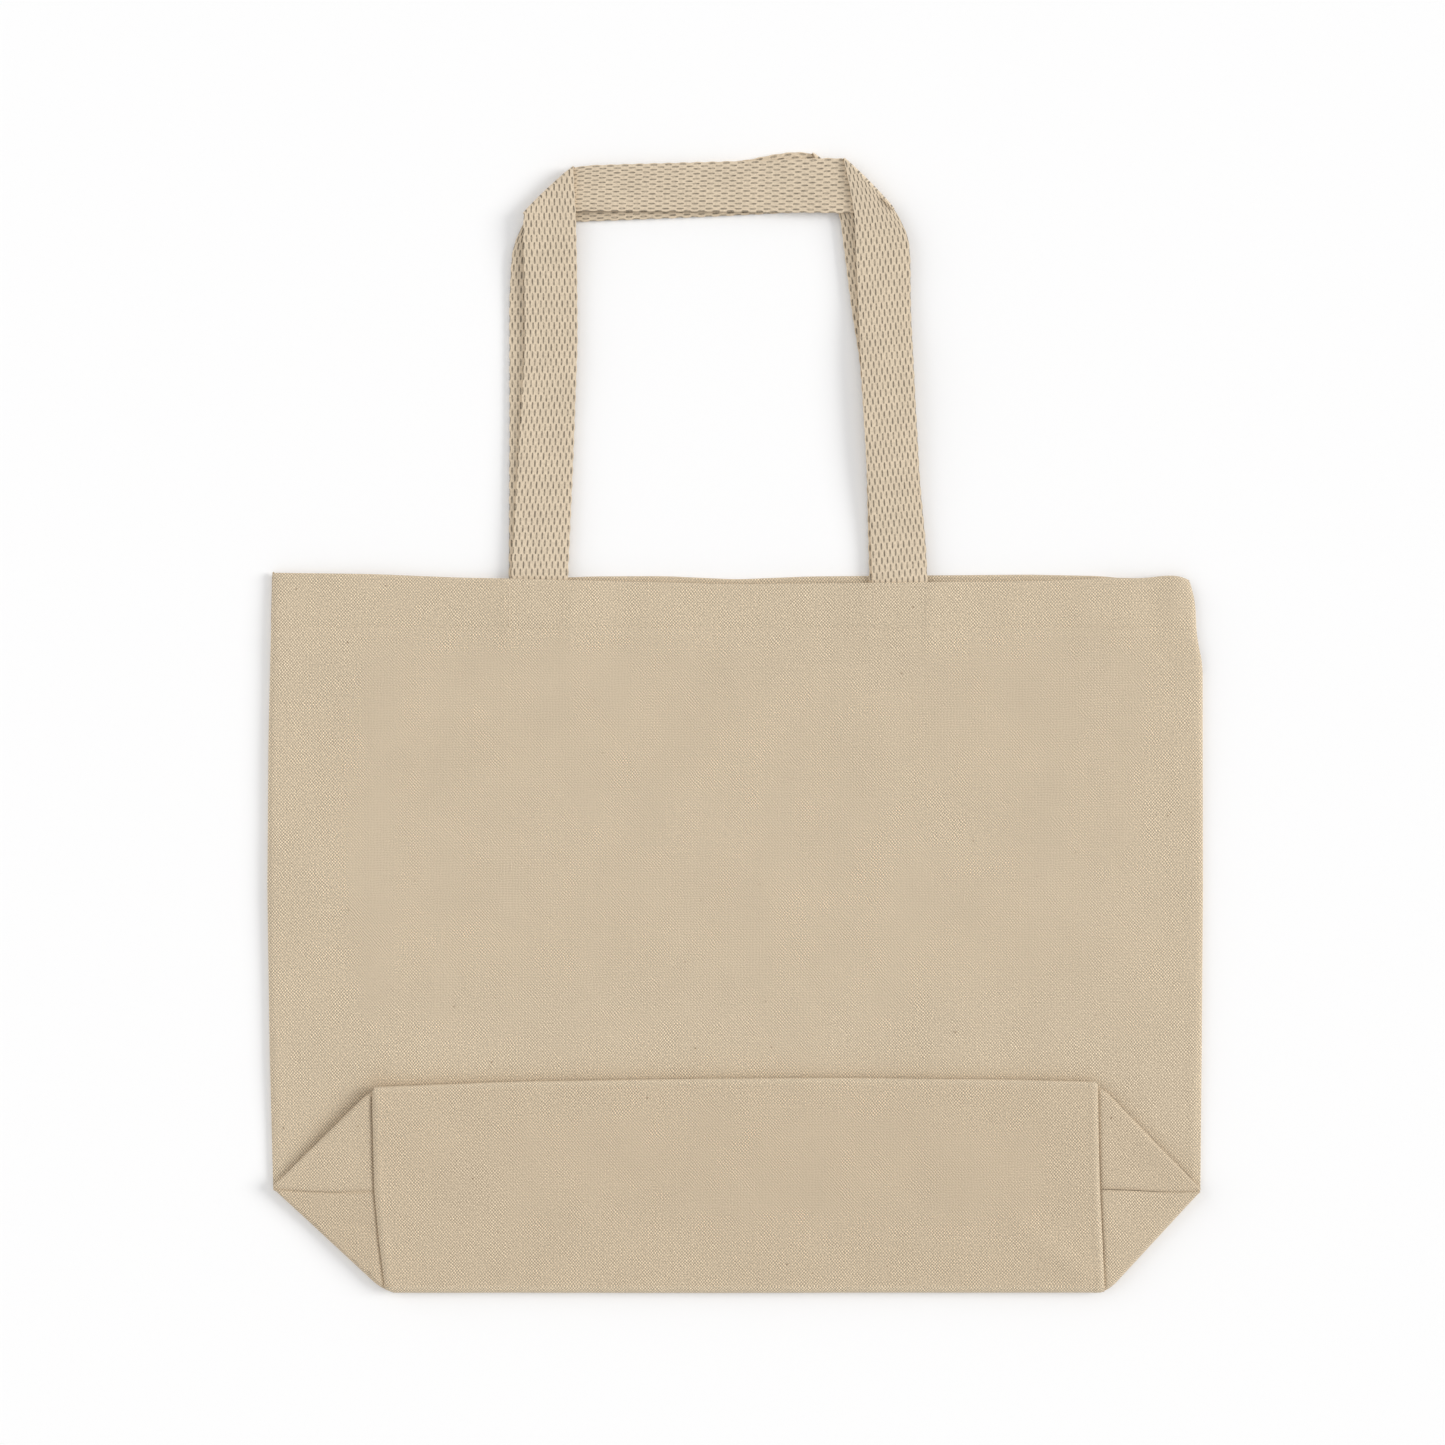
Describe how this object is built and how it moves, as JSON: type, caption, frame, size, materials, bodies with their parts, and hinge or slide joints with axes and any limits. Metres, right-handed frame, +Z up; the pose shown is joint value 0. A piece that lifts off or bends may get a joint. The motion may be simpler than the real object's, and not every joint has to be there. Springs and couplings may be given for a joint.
{
  "type": "tote bag",
  "caption": "Large natural canvas tote bag with a boxed base and webbing handles, folded flat: the base lies over the front and opens with it.",
  "frame": {"origin": "on the surface that the bag lies on, under the middle of its bounding box", "axes": "+Y from the base edge to the handles, +Z up from the surface through the layers, +X to the right of the folded bag seen from above"},
  "size_m": [0.508, 0.618, 0.0082],
  "materials": {
    "canvas": "natural cotton canvas, plain weave, matte",
    "webbing": "natural cotton webbing, herringbone of raised ribs, matte",
    "thread": "natural cotton sewing thread, matte"
  },
  "bodies": {
    "back": {"back_panel": "canvas", "back_hem": "canvas", "back_hem_stitch": "thread", "back_handle_end_left": "webbing", "back_handle_end_right": "webbing", "back_handle_stitch_left": "thread", "back_handle_stitch_right": "thread"},
    "base": {"base_panel": "canvas", "corner_seam_left": "canvas", "corner_seam_right": "canvas"},
    "front_fold": {"front_fold": "canvas"},
    "front": {"front_panel": "canvas", "front_hem": "canvas", "front_hem_stitch": "thread", "front_handle_end_left": "webbing", "front_handle_end_right": "webbing", "front_handle_stitch_left": "thread", "front_handle_stitch_right": "thread"},
    "back_handle": {"back_handle": "webbing"},
    "front_handle": {"front_handle": "webbing"},
    "front_fold_corner_left": {"front_fold_corner_left": "canvas"},
    "front_side_left": {"front_side_left": "canvas", "front_hem_left": "canvas", "front_hem_stitch_left": "thread"},
    "back_side_left": {"back_side_left": "canvas", "back_hem_left": "canvas", "side_seam_left": "canvas"},
    "gusset_lower_left": {"gusset_lower_left": "canvas"},
    "gusset_upper_left": {"gusset_upper_left": "canvas"},
    "front_fold_corner_right": {"front_fold_corner_right": "canvas"},
    "front_side_right": {"front_side_right": "canvas", "front_hem_right": "canvas", "front_hem_stitch_right": "thread"},
    "back_side_right": {"back_side_right": "canvas", "back_hem_right": "canvas", "side_seam_right": "canvas"},
    "gusset_lower_right": {"gusset_lower_right": "canvas"},
    "gusset_upper_right": {"gusset_upper_right": "canvas"}
  },
  "joints": [
    {"name": "bag_opening", "type": "hinge", "parent": "back", "child": "base", "pos_m": [0, -0.309, 0.001], "axis": [1, 0, 0], "range_deg": [0, 90]},
    {"name": "front_fold_turn", "type": "hinge", "parent": "base", "child": "front_fold", "pos_m": [0, -0.192, 0.005], "axis": [1, 0, 0], "range_deg": [0, 90]},
    {"name": "front_turn", "type": "hinge", "parent": "front_fold", "child": "front", "pos_m": [0, -0.2505, 0.00385], "axis": [1, 0, 0], "range_deg": [-179.9, 0]},
    {"name": "front_fold_corner_left_turn", "type": "hinge", "parent": "front_fold", "child": "front_fold_corner_left", "pos_m": [-0.1955, 0, 0.00485], "axis": [0, 1, 0], "range_deg": [0, 90], "deforming": ["front_fold_corner_left"]},
    {"name": "front_side_left_turn", "type": "hinge", "parent": "front", "child": "front_side_left", "pos_m": [-0.1955, 0, 0.00285], "axis": [0, 1, 0], "range_deg": [-90, 0], "deforming": ["front_side_left", "front_hem_left", "front_hem_stitch_left"]},
    {"name": "back_side_left_turn", "type": "hinge", "parent": "back", "child": "back_side_left", "pos_m": [-0.1955, 0, 0.00085], "axis": [0, 1, 0], "range_deg": [0, 90], "deforming": ["back_side_left", "back_hem_left", "side_seam_left"]},
    {"name": "gusset_lower_left_turn", "type": "hinge", "parent": "back_side_left", "child": "gusset_lower_left", "pos_m": [-0.1955, -0.309, 0.00335], "axis": [0.7071, -0.7071, 0], "range_deg": [0, 179.9], "deforming": ["gusset_lower_left"]},
    {"name": "gusset_upper_left_turn", "type": "hinge", "parent": "front_fold_corner_left", "child": "gusset_upper_left", "pos_m": [-0.1955, -0.192, 0.00535], "axis": [-0.7071, -0.7071, 0], "range_deg": [0, 179.9], "deforming": ["gusset_upper_left"]},
    {"name": "front_fold_corner_right_turn", "type": "hinge", "parent": "front_fold", "child": "front_fold_corner_right", "pos_m": [0.1955, 0, 0.00485], "axis": [0, 1, 0], "range_deg": [-90, 0], "deforming": ["front_fold_corner_right"]},
    {"name": "front_side_right_turn", "type": "hinge", "parent": "front", "child": "front_side_right", "pos_m": [0.1955, 0, 0.00285], "axis": [0, 1, 0], "range_deg": [0, 90], "deforming": ["front_side_right", "front_hem_right", "front_hem_stitch_right"]},
    {"name": "back_side_right_turn", "type": "hinge", "parent": "back", "child": "back_side_right", "pos_m": [0.1955, 0, 0.00085], "axis": [0, 1, 0], "range_deg": [-90, 0], "deforming": ["back_side_right", "back_hem_right", "side_seam_right"]},
    {"name": "gusset_lower_right_turn", "type": "hinge", "parent": "back_side_right", "child": "gusset_lower_right", "pos_m": [0.1955, -0.309, 0.00335], "axis": [0.7071, 0.7071, 0], "range_deg": [0, 179.9], "deforming": ["gusset_lower_right"]},
    {"name": "gusset_upper_right_turn", "type": "hinge", "parent": "front_fold_corner_right", "child": "gusset_upper_right", "pos_m": [0.1955, -0.192, 0.00535], "axis": [-0.7071, 0.7071, 0], "range_deg": [0, 179.9], "deforming": ["gusset_upper_right"]},
    {"name": "front_handle_swing", "type": "hinge", "parent": "front", "child": "front_handle", "pos_m": [0, 0.0817, 0.0072], "axis": [1, 0, 0], "range_deg": [0, 175]},
    {"name": "back_handle_swing", "type": "hinge", "parent": "back", "child": "back_handle", "pos_m": [0, 0.0817, 0.0072], "axis": [1, 0, 0], "range_deg": [0, 175]}
  ],
  "couplings": [
    {"joint": "front_fold_turn", "follows": "bag_opening", "ratio": 1},
    {"joint": "front_turn", "follows": "bag_opening", "ratio": -1.9989},
    {"joint": "front_fold_corner_left_turn", "follows": "bag_opening", "ratio": 1},
    {"joint": "front_side_left_turn", "follows": "bag_opening", "ratio": -1},
    {"joint": "back_side_left_turn", "follows": "bag_opening", "ratio": 1},
    {"joint": "gusset_lower_left_turn", "follows": "bag_opening", "ratio": 1.9989},
    {"joint": "gusset_upper_left_turn", "follows": "bag_opening", "ratio": 1.9989},
    {"joint": "front_fold_corner_right_turn", "follows": "bag_opening", "ratio": -1},
    {"joint": "front_side_right_turn", "follows": "bag_opening", "ratio": 1},
    {"joint": "back_side_right_turn", "follows": "bag_opening", "ratio": -1},
    {"joint": "gusset_lower_right_turn", "follows": "bag_opening", "ratio": 1.9989},
    {"joint": "gusset_upper_right_turn", "follows": "bag_opening", "ratio": 1.9989},
    {"joint": "back_handle_swing", "follows": "front_handle_swing", "ratio": 1}
  ]
}
